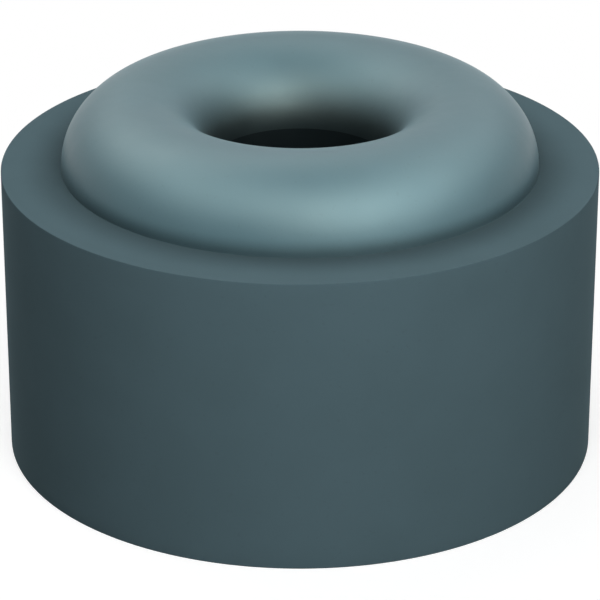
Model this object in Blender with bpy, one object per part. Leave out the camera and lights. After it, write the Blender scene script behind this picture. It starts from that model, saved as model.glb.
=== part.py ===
"""Rubber door stop, 40 mm across and 25 mm high, moulded as one piece.

A straight-sided round block carries a half-round buffer ring on its top face. A bore runs down
inside the ring to a flat seat for the head of the fixing screw, and a smaller hole takes the
screw through the web that is left below the seat.

Units are metres and +Z is up. The origin is the centre of the base, on the floor or wall that
the stop is screwed to. The whole piece is one closed half section turned about the Z axis.
"""

import math

import bmesh
import bpy

# Driving dimensions, in metres
BODY_DIAMETER = 0.040        # the round block
BODY_HEIGHT = 0.020          # from the base to the flat shoulder round the ring
SHOULDER_WIDTH = 0.004       # flat shoulder between the ring and the block's rim
BORE_DIAMETER = 0.012        # well that takes the screw head and its washer
WEB_THICKNESS = 0.005        # rubber between the screw head and the base
SCREW_HOLE_DIAMETER = 0.006  # clearance hole for the screw's shank
RIM_ROUND = 0.0002           # radius of the block's top edge, as the mould leaves it
BASE_ROUND = 0.0002          # radius of the block's bottom edge
SEAT_FILLET = 0.0005         # inside corner between the bore's wall and the seat
HOLE_ROUND = 0.0003          # lip where the seat turns down into the screw hole

# Sizes that follow from the driving dimensions
BODY_RADIUS = BODY_DIAMETER / 2
BORE_RADIUS = BORE_DIAMETER / 2
SCREW_HOLE_RADIUS = SCREW_HOLE_DIAMETER / 2
RING_OUTER_RADIUS = BODY_RADIUS - SHOULDER_WIDTH
RING_SECTION_RADIUS = (RING_OUTER_RADIUS - BORE_RADIUS) / 2
RING_CENTRE_RADIUS = BORE_RADIUS + RING_SECTION_RADIUS

# Smoothness of the turned surface
TURN_STEPS = 96              # facets round the axis
RING_STEPS = 24              # facets over the half-round section
EDGE_STEPS = 3               # facets over each small edge radius

SHARP_ANGLE = math.radians(40)

RUBBER_COLOUR = (0.127, 0.202, 0.223, 1.0)
RUBBER_ROUGHNESS = 0.5


def clear_scene():
    """Remove whatever the opened file holds."""
    for thing in list(bpy.data.objects):
        bpy.data.objects.remove(thing, do_unlink=True)


def arc(centre, radius, start, end, steps):
    """Points (r, z) on an arc from the start to the end angle, in degrees from the +r direction."""
    points = []
    for step in range(steps + 1):
        angle = math.radians(start + (end - start) * step / steps)
        points.append((centre[0] + radius * math.cos(angle), centre[1] + radius * math.sin(angle)))
    return points


def block_outline():
    """Outside of the block: base edge, straight side and top edge."""
    base_edge = (BODY_RADIUS - BASE_ROUND, BASE_ROUND)
    top_edge = (BODY_RADIUS - RIM_ROUND, BODY_HEIGHT - RIM_ROUND)
    return arc(base_edge, BASE_ROUND, -90, 0, EDGE_STEPS) + arc(top_edge, RIM_ROUND, 0, 90, EDGE_STEPS)


def ring_outline():
    """Half-round buffer ring, from its foot on the shoulder over the crown to the bore."""
    return arc((RING_CENTRE_RADIUS, BODY_HEIGHT), RING_SECTION_RADIUS, 0, 180, RING_STEPS)


def bore_outline():
    """Corner of the screw-head well, the seat, and the screw hole down to the base."""
    well_corner = (BORE_RADIUS - SEAT_FILLET, WEB_THICKNESS + SEAT_FILLET)
    hole_lip = (SCREW_HOLE_RADIUS + HOLE_ROUND, WEB_THICKNESS - HOLE_ROUND)
    corner = arc(well_corner, SEAT_FILLET, 0, -90, EDGE_STEPS)
    lip = arc(hole_lip, HOLE_ROUND, 90, 180, EDGE_STEPS)
    return corner + lip + [(SCREW_HOLE_RADIUS, 0.0)]


def half_section():
    """Closed half section of the stop, as (r, z) points running up the outside."""
    return block_outline() + ring_outline() + bore_outline()


def turned_mesh(name, section):
    """Closed mesh made by turning a closed half section once about the Z axis."""
    bm = bmesh.new()
    corners = [bm.verts.new((r, 0.0, z)) for r, z in section]
    edges = [bm.edges.new((corners[i - 1], corners[i])) for i in range(len(corners))]
    bmesh.ops.spin(
        bm,
        geom=corners + edges,
        cent=(0.0, 0.0, 0.0),
        axis=(0.0, 0.0, 1.0),
        angle=math.tau,
        steps=TURN_STEPS,
        use_merge=True,
    )
    bmesh.ops.recalc_face_normals(bm, faces=bm.faces)
    mesh = bpy.data.meshes.new(name)
    bm.to_mesh(mesh)
    bm.free()
    mesh.shade_smooth()
    mesh.set_sharp_from_angle(angle=SHARP_ANGLE)
    return mesh


def rubber_material():
    """Grey-green moulded rubber with a soft sheen."""
    material = bpy.data.materials.new("grey_rubber")
    material.use_nodes = True
    shader = material.node_tree.nodes["Principled BSDF"]
    shader.inputs["Base Color"].default_value = RUBBER_COLOUR
    shader.inputs["Roughness"].default_value = RUBBER_ROUGHNESS
    shader.inputs["Metallic"].default_value = 0.0
    return material


def rubber_body():
    """The one moulded piece, standing on its base."""
    mesh = turned_mesh("rubber_body", half_section())
    mesh.materials.append(rubber_material())
    body = bpy.data.objects.new("rubber_body", mesh)
    bpy.context.scene.collection.objects.link(body)
    return body


def main():
    clear_scene()
    rubber_body()


main()
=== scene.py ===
"""Looks of the rubber door stop: the moulded body with its finish, the studio and the camera.

Everything is in metres in the frame of the CAD model, +Z up, with the base of the stop at z = 0.
"""

import math

import bmesh
import bpy
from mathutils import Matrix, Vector


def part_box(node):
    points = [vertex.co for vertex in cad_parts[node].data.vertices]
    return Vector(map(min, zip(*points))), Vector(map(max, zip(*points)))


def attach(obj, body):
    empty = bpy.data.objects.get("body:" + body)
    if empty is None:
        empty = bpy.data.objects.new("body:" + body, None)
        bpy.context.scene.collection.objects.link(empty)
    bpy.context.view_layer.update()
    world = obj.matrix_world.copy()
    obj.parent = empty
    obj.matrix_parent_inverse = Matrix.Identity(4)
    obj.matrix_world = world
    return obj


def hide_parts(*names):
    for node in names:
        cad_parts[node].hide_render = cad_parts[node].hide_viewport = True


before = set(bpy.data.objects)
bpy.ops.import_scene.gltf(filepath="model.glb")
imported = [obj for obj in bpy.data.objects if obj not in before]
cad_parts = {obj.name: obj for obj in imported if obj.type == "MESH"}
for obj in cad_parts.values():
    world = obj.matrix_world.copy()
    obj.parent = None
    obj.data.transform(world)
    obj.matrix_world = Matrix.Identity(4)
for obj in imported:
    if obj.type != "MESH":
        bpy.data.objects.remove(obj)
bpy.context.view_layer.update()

# Sizes of the stop, from the CAD body's box and the model's own dimensions
BODY_NODE = "rubber_body"
body_low, body_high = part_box(BODY_NODE)
BODY_RADIUS = (body_high.x - body_low.x) / 2
OVERALL_HEIGHT = body_high.z - body_low.z
SHOULDER_WIDTH = 0.004
BORE_RADIUS = 0.006
WEB_THICKNESS = 0.005
SCREW_HOLE_RADIUS = 0.003
EDGE_ROUND = 0.00005         # block's top and bottom edges
SEAT_FILLET = 0.0005         # inside corner at the bottom of the bore
HOLE_ROUND = 0.0003          # lip of the screw hole
RING_SECTION_RADIUS = (BODY_RADIUS - SHOULDER_WIDTH - BORE_RADIUS) / 2
RING_CENTRE_RADIUS = BORE_RADIUS + RING_SECTION_RADIUS
BODY_HEIGHT = OVERALL_HEIGHT - RING_SECTION_RADIUS

# Smoothness of the turned surface
TURN_STEPS = 256
RING_STEPS = 64
EDGE_STEPS = 6
CELL = 0.001                 # longest cell along a straight run
SHARP_ANGLE = math.radians(40)

# Main, paler and darker colour of the rubber. The rubbed ring is a little bluer than the block.
RING_COLOURS = (
    (0.0715, 0.1355, 0.161, 1.0),
    (0.0755, 0.1425, 0.170, 1.0),
    (0.064, 0.115, 0.135, 1.0),
)
BLOCK_COLOURS = (
    (0.082, 0.1350, 0.157, 1.0),
    (0.0865, 0.1420, 0.166, 1.0),
    (0.0735, 0.1145, 0.131, 1.0),
)
GLOSS_TINT = (0.78, 1.0, 0.94, 1.0)
RING_GLOSS = 0.5             # specular level of the rubbed ring
BLOCK_GLOSS = 0.15           # specular level of the block and the bore
RING_ROUGHNESS = 0.45        # rubbed smooth, and the bore with it
BLOCK_ROUGHNESS = 0.97       # matt, as moulded
RUBBER_IOR = 1.5

# Tones of the rubber's zones, as shares of its own colour. The block's tone is its own; the others
# are painted shade on the shoulder, in the crease, on the ring's inner wall and down the bore.
BLOCK_TONE = 0.95
RIM_PAINTED_SHADE = 0.90              # painted shade on the shoulder near the block's rim
FOOT_PAINTED_SHADE = 0.55             # painted shade on the shoulder at the ring's foot
CREASE_PAINTED_SHADE = 0.45           # painted shade on the ring where it meets the shoulder
MOUTH_PAINTED_SHADE = 0.07            # painted shade on the ring's inner wall where the bore starts
# painted shade down the bore, near black
BORE_PAINTED_SHADE = 0.06

# Heights and radii at which the zones of painted shade and roughness start and end
RING_START = BODY_HEIGHT + 0.00003
SHOULDER_START = BODY_HEIGHT - 0.00004
CREASE_TOP = BODY_HEIGHT + 0.0013
MOUTH_START = BODY_HEIGHT + 0.0008
MOUTH_TOP = BODY_HEIGHT + RING_SECTION_RADIUS - 0.0003
RING_FOOT_RADIUS = RING_CENTRE_RADIUS + RING_SECTION_RADIUS
RIM_START_RADIUS = BODY_RADIUS - 0.001
BORE_EDGE_RADIUS = BORE_RADIUS + 0.0003
BASE_TOP = 0.0002            # lowest height that counts as down the bore
ZONE_STEP = 0.00004          # width of the step from one zone to the next

# Texture of the rubber: scales are per metre, ranges are the part of the noise that is used
CLOUD_SCALE = 180.0
CLOUD_RANGE = (0.35, 0.65)
SPECK_SCALE = 3200.0
SPECK_RANGE = (0.68, 0.76)
SPECK_SHARE = 0.35
SHEEN_SCALE = 420.0
SHEEN_RANGE = (0.3, 0.7)
SHEEN_SWING = 0.03           # how far the roughness strays
GRAIN_SCALE = 5200.0
GRAIN_DEPTH = 0.00001
GRAIN_STRENGTH = 0.35
RIPPLE_SCALE = 700.0
RIPPLE_DEPTH = 0.00004
RIPPLE_STRENGTH = 0.25
COARSE_NOISE = 0.5           # noise roughness of the clouds, specks and ripple
FINE_NOISE = 0.6             # noise roughness of the sheen and grain

# Camera, from the fit of the photograph's outline
LENS = 197.0
SENSOR_WIDTH = 36.0
CLIP_START = 0.01
CLIP_END = 10.0
CAMERA_DISTANCE = 0.22436
CAMERA_AZIMUTH = -math.pi / 2
CAMERA_ELEVATION = math.radians(24.6)
AIM_HEIGHT = 0.00979

# Lamps: name, azimuth and elevation in degrees (azimuth 0 is +X, 270 is the camera's side), power
LAMPS = (
    ("front", 280, 35, 0.115),
    ("front_high", 280, 50, 0.088),
    ("rear", 120, 50, 0.048),
    ("rear_left", 140, 50, 0.026),
    ("rear_high", 120, 65, 0.017),
)
# Cards beside the lamps, which only show as gloss on the rubber
CARDS = (
    ("card_front_left", 220, 50, 0.150),
    ("card_right_high", 340, 50, 0.120),
    ("card_right", 320, 35, 0.130),
    ("card_left", 160, 50, 0.110),
    ("card_front_right", 300, 35, 0.112),
    ("card_side", 20, 50, 0.078),
    ("card_front_low", 300, 20, 0.043),
    ("card_rear_right", 60, 50, 0.039),
)
# Fills, which only show as plain light and not as gloss
FILLS = (
    ("fill_rear_right", 73, 10, 0.080),
    ("fill_rear_left", 108, 10, 0.055),
    ("fill_right", 297, 10, 0.036),
    ("fill_left", 210, 20, 0.013),
)
LAMP_DISTANCE = 0.16
LAMP_DIAMETER = 0.14
LAMP_AIM = Vector((0.0, 0.0, OVERALL_HEIGHT / 2))

# Floor: white where it is seen, and dark to the light that would bounce off it onto the stop
FLOOR_SIZE = 6.0
FLOOR_DARK = (0.08, 0.08, 0.08, 1.0)
FLOOR_PALE = (0.95, 0.95, 0.95, 1.0)
FLOOR_GLOW = 0.4             # plain brightness added to the pale floor in the shadow's reach
SHADOW_SHARE = 0.6           # how much of the shadow shows close to the stop
SHADOW_REACH = 2 * BODY_RADIUS

WORLD_COLOUR = (1.0, 1.0, 1.0, 1.0)
WORLD_LIGHT = 0.0            # strength for the rays that don't see the background


def arc(centre, radius, start, end, steps):
    """Points (r, z) on an arc from the start to the end angle, in degrees from the +r direction."""
    points = []
    for step in range(steps + 1):
        angle = math.radians(start + (end - start) * step / steps)
        points.append((centre[0] + radius * math.cos(angle), centre[1] + radius * math.sin(angle)))
    return points


def joined(*stretches):
    """One closed outline of the given stretches, with the straight runs between cut into cells."""
    outline = []
    for index, stretch in enumerate(stretches):
        following = stretches[(index + 1) % len(stretches)]
        outline.extend(stretch)
        start = Vector(stretch[-1])
        run = Vector(following[0]) - start
        cells = max(1, math.ceil(run.length / CELL))
        for cell in range(1, cells):
            point = start + run * cell / cells
            outline.append((point.x, point.y))
    return outline


def body_section():
    """Closed half section of the moulded body, running up the outside and down the bore."""
    base_centre = (BODY_RADIUS - EDGE_ROUND, EDGE_ROUND)
    base_edge = arc(base_centre, EDGE_ROUND, -90, 0, EDGE_STEPS)
    rim_centre = (BODY_RADIUS - EDGE_ROUND, BODY_HEIGHT - EDGE_ROUND)
    top_edge = arc(rim_centre, EDGE_ROUND, 0, 90, EDGE_STEPS)
    ring = arc((RING_CENTRE_RADIUS, BODY_HEIGHT), RING_SECTION_RADIUS, 0, 180, RING_STEPS)
    corner_centre = (BORE_RADIUS - SEAT_FILLET, WEB_THICKNESS + SEAT_FILLET)
    corner = arc(corner_centre, SEAT_FILLET, 0, -90, EDGE_STEPS)
    lip_centre = (SCREW_HOLE_RADIUS + HOLE_ROUND, WEB_THICKNESS - HOLE_ROUND)
    lip = arc(lip_centre, HOLE_ROUND, 90, 180, EDGE_STEPS)
    return joined(base_edge, top_edge, ring, corner, lip, [(SCREW_HOLE_RADIUS, 0.0)])


def linked_object(name, data):
    """New object with the given data, linked to the scene."""
    thing = bpy.data.objects.new(name, data)
    bpy.context.scene.collection.objects.link(thing)
    return thing


def mesh_from(bm, name):
    """Mesh with the bmesh's contents, which are freed."""
    mesh = bpy.data.meshes.new(name)
    bm.to_mesh(mesh)
    bm.free()
    return mesh


def turned_piece(name, section):
    """Object made by turning a closed half section once about the Z axis."""
    bm = bmesh.new()
    corners = [bm.verts.new((r, 0.0, z)) for r, z in section]
    edges = [bm.edges.new((corners[i - 1], corners[i])) for i in range(len(corners))]
    bmesh.ops.spin(
        bm,
        geom=corners + edges,
        cent=(0.0, 0.0, 0.0),
        axis=(0.0, 0.0, 1.0),
        angle=math.tau,
        steps=TURN_STEPS,
        use_merge=True,
    )
    bmesh.ops.recalc_face_normals(bm, faces=bm.faces)
    mesh = mesh_from(bm, name)
    mesh.shade_smooth()
    mesh.set_sharp_from_angle(angle=SHARP_ANGLE)
    return linked_object(name, mesh)


def even_flats(piece):
    """Keeps the flat faces flat in shading beside the small edge radii."""
    normals = piece.modifiers.new("even_flats", "WEIGHTED_NORMAL")
    normals.keep_sharp = True


def set_inputs(node, **values):
    """Sets plain values on a node's inputs, named as the input is with _ for each space."""
    for name, value in values.items():
        node.inputs[name.replace("_", " ")].default_value = value


# Sockets of the Mix node for numbers and for colours: first input, second input, output
MIX_SOCKETS = {"FLOAT": (2, 3, 0), "RGBA": (6, 7, 2)}


class Nodes:
    """Small helper that adds and links the nodes of one material or world."""

    def __init__(self, tree):
        self.tree = tree

    def add(self, kind, **settings):
        node = self.tree.nodes.new(kind)
        for key, value in settings.items():
            setattr(node, key, value)
        return node

    def link(self, output, target):
        self.tree.links.new(output, target)

    def put(self, value, target):
        """Links a socket to the target, or sets a plain number or colour on it."""
        if isinstance(value, bpy.types.NodeSocket):
            self.link(value, target)
        else:
            target.default_value = value

    def noise(self, place, scale, detail, roughness=COARSE_NOISE):
        node = self.add("ShaderNodeTexNoise")
        set_inputs(node, Scale=scale, Detail=detail, Roughness=roughness)
        self.link(place, node.inputs["Vector"])
        return node.outputs["Fac"]

    def spread(self, value, low, high, new_low, new_high):
        """Maps the value from one range to another, held at the ends."""
        node = self.add("ShaderNodeMapRange")
        set_inputs(node, From_Min=low, From_Max=high, To_Min=new_low, To_Max=new_high)
        self.link(value, node.inputs["Value"])
        return node.outputs["Result"]

    def smooth(self, value, low, high, new_low, new_high):
        """Same as spread, with a soft start and end."""
        result = self.spread(value, low, high, new_low, new_high)
        result.node.interpolation_type = "SMOOTHSTEP"
        return result

    def above(self, value, level):
        """1 where the value is above the level and 0 below it, with a short step between."""
        return self.spread(value, level - ZONE_STEP / 2, level + ZONE_STEP / 2, 0.0, 1.0)

    def mix(self, kind, factor, first, second):
        first_input, second_input, output = MIX_SOCKETS[kind]
        node = self.add("ShaderNodeMix", data_type=kind)
        self.link(factor, node.inputs[0])
        self.put(first, node.inputs[first_input])
        self.put(second, node.inputs[second_input])
        return node.outputs[output]

    def blend(self, factor, first, second):
        """Colour mix of two sockets or plain colours."""
        return self.mix("RGBA", factor, first, second)

    def pick(self, factor, first, second):
        """Number mix of two sockets or plain numbers."""
        return self.mix("FLOAT", factor, first, second)

    def calc(self, operation, first, second):
        node = self.add("ShaderNodeMath", operation=operation)
        self.put(first, node.inputs[0])
        self.put(second, node.inputs[1])
        return node.outputs[0]

    def bump(self, height, distance, strength, below=None):
        node = self.add("ShaderNodeBump")
        set_inputs(node, Distance=distance, Strength=strength)
        self.link(height, node.inputs["Height"])
        if below is not None:
            self.link(below, node.inputs["Normal"])
        return node.outputs["Normal"]

    def mix_shaders(self, factor, first, second):
        node = self.add("ShaderNodeMixShader")
        self.link(factor, node.inputs[0])
        self.link(first, node.inputs[1])
        self.link(second, node.inputs[2])
        return node.outputs[0]


def rubber_zones(nodes, place):
    """Painted shade and roughness: palest and smoothest on the rubbed ring, painted shade darkening
    the shoulder towards the ring's foot, the crease and the ring's inner wall, and painted near
    black down the bore.
    """
    split = nodes.add("ShaderNodeSeparateXYZ")
    nodes.link(place, split.inputs[0])
    across = nodes.calc("POWER", split.outputs[0], 2.0)
    along = nodes.calc("POWER", split.outputs[1], 2.0)
    radius = nodes.calc("POWER", nodes.calc("ADD", across, along), 0.5)
    height = split.outputs[2]

    on_ring = nodes.above(height, RING_START)
    outside_crown = nodes.above(radius, RING_CENTRE_RADIUS)
    # Painted shade in the crease where the ring meets the shoulder
    crease_painted_shade = nodes.smooth(height, BODY_HEIGHT, CREASE_TOP, CREASE_PAINTED_SHADE, 1.0)
    # Painted shade on the ring's inner wall, near black where the bore starts
    mouth_painted_shade = nodes.smooth(height, MOUTH_START, MOUTH_TOP, MOUTH_PAINTED_SHADE, 1.0)
    ring = nodes.pick(outside_crown, mouth_painted_shade, crease_painted_shade)

    # Painted shade on the shoulder, darkening from the block's rim to the ring's foot
    shoulder_painted_shade = nodes.smooth(radius, RING_FOOT_RADIUS, RIM_START_RADIUS, FOOT_PAINTED_SHADE, RIM_PAINTED_SHADE)
    on_shoulder = nodes.above(height, SHOULDER_START)
    block = nodes.pick(on_shoulder, BLOCK_TONE, shoulder_painted_shade)

    in_bore = nodes.calc("SUBTRACT", 1.0, nodes.above(radius, BORE_EDGE_RADIUS))
    off_base = nodes.above(height, BASE_TOP)
    bore = nodes.calc("MULTIPLY", in_bore, off_base)
    # Painted shade down the bore, near black; elsewhere the block's tone and the ring's painted
    # shade
    painted_shade = nodes.pick(on_ring, nodes.pick(bore, block, BORE_PAINTED_SHADE), ring)
    rubbed = nodes.calc("MAXIMUM", on_ring, bore)
    return painted_shade, nodes.pick(rubbed, BLOCK_ROUGHNESS, RING_ROUGHNESS)


def rubber_material(name, colours, gloss):
    """Grey-green moulded rubber: fine grain, faint clouding, small dark specks, uneven sheen."""
    material = bpy.data.materials.new(name)
    material.use_nodes = True
    nodes = Nodes(material.node_tree)
    shader = material.node_tree.nodes["Principled BSDF"]
    place = nodes.add("ShaderNodeTexCoord").outputs["Object"]

    clouds = nodes.spread(nodes.noise(place, CLOUD_SCALE, 3.0), *CLOUD_RANGE, 0.0, 1.0)
    specks = nodes.spread(nodes.noise(place, SPECK_SCALE, 1.0), *SPECK_RANGE, 0.0, SPECK_SHARE)
    main, pale, speck = colours
    colour = nodes.blend(specks, nodes.blend(clouds, main, pale), speck)
    # The base colour is darkened by painted shade at the ring's foot, in the crease, on the ring's
    # inner wall and down the bore.
    painted_shade, roughness = rubber_zones(nodes, place)
    colour_with_painted_shade = nodes.add("ShaderNodeVectorMath", operation="SCALE")
    nodes.link(colour, colour_with_painted_shade.inputs[0])
    nodes.link(painted_shade, colour_with_painted_shade.inputs["Scale"])
    nodes.link(colour_with_painted_shade.outputs[0], shader.inputs["Base Color"])

    patches = nodes.noise(place, SHEEN_SCALE, 4.0, FINE_NOISE)
    sheen = nodes.spread(patches, *SHEEN_RANGE, -SHEEN_SWING, SHEEN_SWING)
    nodes.link(nodes.calc("ADD", roughness, sheen), shader.inputs["Roughness"])

    grain = nodes.noise(place, GRAIN_SCALE, 2.0, FINE_NOISE)
    ripple = nodes.noise(place, RIPPLE_SCALE, 1.0)
    rippled = nodes.bump(ripple, RIPPLE_DEPTH, RIPPLE_STRENGTH)
    grained = nodes.bump(grain, GRAIN_DEPTH, GRAIN_STRENGTH, rippled)
    nodes.link(grained, shader.inputs["Normal"])

    shader.inputs["Metallic"].default_value = 0.0
    shader.inputs["IOR"].default_value = RUBBER_IOR
    shader.inputs["Specular IOR Level"].default_value = gloss
    shader.inputs["Specular Tint"].default_value = GLOSS_TINT
    return material


def moulded_body():
    """The one rubber piece, in place of the plain CAD solid."""
    piece = turned_piece("moulded_body", body_section())
    even_flats(piece)
    piece.data.materials.append(rubber_material("grey_rubber", BLOCK_COLOURS, BLOCK_GLOSS))
    piece.data.materials.append(rubber_material("grey_rubber_rubbed", RING_COLOURS, RING_GLOSS))
    for face in piece.data.polygons:
        face.material_index = 1 if face.center.z > RING_START else 0
    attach(piece, "root")
    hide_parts(BODY_NODE)


def sees_background(nodes):
    """1 on rays that see the white background: from the camera, off gloss, through clear things."""
    path = nodes.add("ShaderNodeLightPath")
    glossy, clear = path.outputs["Is Glossy Ray"], path.outputs["Is Transmission Ray"]
    mirrored = nodes.calc("MAXIMUM", glossy, clear)
    return nodes.calc("MAXIMUM", path.outputs["Is Camera Ray"], mirrored)


def floor_material():
    """Matt floor that renders white, with the stop's soft shadow on it."""
    material = bpy.data.materials.new("studio_floor")
    material.use_nodes = True
    nodes = Nodes(material.node_tree)
    dark = material.node_tree.nodes["Principled BSDF"]
    dark.inputs["Base Color"].default_value = FLOOR_DARK
    dark.inputs["Roughness"].default_value = 1.0
    dark.inputs["Specular IOR Level"].default_value = 0.0

    white = nodes.add("ShaderNodeEmission")
    lit = nodes.add("ShaderNodeBsdfDiffuse")
    set_inputs(lit, Color=FLOOR_PALE)
    glow = nodes.add("ShaderNodeEmission")
    set_inputs(glow, Strength=FLOOR_GLOW)
    shaded = nodes.add("ShaderNodeAddShader")
    nodes.link(lit.outputs[0], shaded.inputs[0])
    nodes.link(glow.outputs[0], shaded.inputs[1])

    place = nodes.add("ShaderNodeTexCoord").outputs["Object"]
    middle = nodes.add("ShaderNodeVectorMath", operation="LENGTH")
    nodes.link(place, middle.inputs[0])
    away = middle.outputs["Value"]
    shadow = nodes.smooth(away, BODY_RADIUS, SHADOW_REACH, SHADOW_SHARE, 0.0)
    pale = nodes.mix_shaders(shadow, white.outputs[0], shaded.outputs[0])
    surface = nodes.mix_shaders(sees_background(nodes), dark.outputs[0], pale)
    nodes.link(surface, material.node_tree.nodes["Material Output"].inputs["Surface"])
    return material


def studio_floor():
    bm = bmesh.new()
    bmesh.ops.create_grid(bm, x_segments=1, y_segments=1, size=FLOOR_SIZE / 2)
    mesh = mesh_from(bm, "studio_floor")
    mesh.materials.append(floor_material())
    linked_object("studio_floor", mesh)


def studio_world():
    """White to the rays that see the background, and no light from it on the stop."""
    world = bpy.data.worlds.new("studio")
    world.use_nodes = True
    bpy.context.scene.world = world
    nodes = Nodes(world.node_tree)
    dark = world.node_tree.nodes["Background"]
    set_inputs(dark, Color=WORLD_COLOUR, Strength=WORLD_LIGHT)
    white = nodes.add("ShaderNodeBackground")
    surface = nodes.mix_shaders(sees_background(nodes), dark.outputs[0], white.outputs[0])
    nodes.link(surface, world.node_tree.nodes["World Output"].inputs["Surface"])


def direction(azimuth, elevation):
    """Unit vector from angles in radians, azimuth from +X."""
    flat = math.cos(elevation)
    return Vector((math.cos(azimuth) * flat, math.sin(azimuth) * flat, math.sin(elevation)))


def face_towards(thing, aim):
    """Turns a lamp or camera to look at the point."""
    thing.rotation_euler = (aim - thing.location).to_track_quat("-Z", "Y").to_euler()


def studio_lamp(name, azimuth, elevation, power):
    light = bpy.data.lights.new(name, "AREA")
    light.shape = "DISK"
    light.size = LAMP_DIAMETER
    light.energy = power
    lamp = linked_object(name, light)
    towards = direction(math.radians(azimuth), math.radians(elevation))
    lamp.location = LAMP_AIM + towards * LAMP_DISTANCE
    face_towards(lamp, LAMP_AIM)
    lamp.visible_camera = False
    return lamp


def studio_lamps():
    for setting in LAMPS:
        studio_lamp(*setting)
    for setting in CARDS:
        studio_lamp(*setting).visible_diffuse = False
    for setting in FILLS:
        studio_lamp(*setting).visible_glossy = False


def studio_camera():
    """Camera at the photograph's viewing angle, on the -Y side."""
    data = bpy.data.cameras.new("camera")
    data.lens = LENS
    data.sensor_width = SENSOR_WIDTH
    data.clip_start = CLIP_START
    data.clip_end = CLIP_END
    camera = linked_object("camera", data)
    aim = Vector((0.0, 0.0, AIM_HEIGHT))
    camera.location = aim + direction(CAMERA_AZIMUTH, CAMERA_ELEVATION) * CAMERA_DISTANCE
    face_towards(camera, aim)
    bpy.context.scene.camera = camera


moulded_body()
studio_floor()
studio_world()
studio_lamps()
studio_camera()
bpy.context.scene.view_settings.view_transform = "Standard"
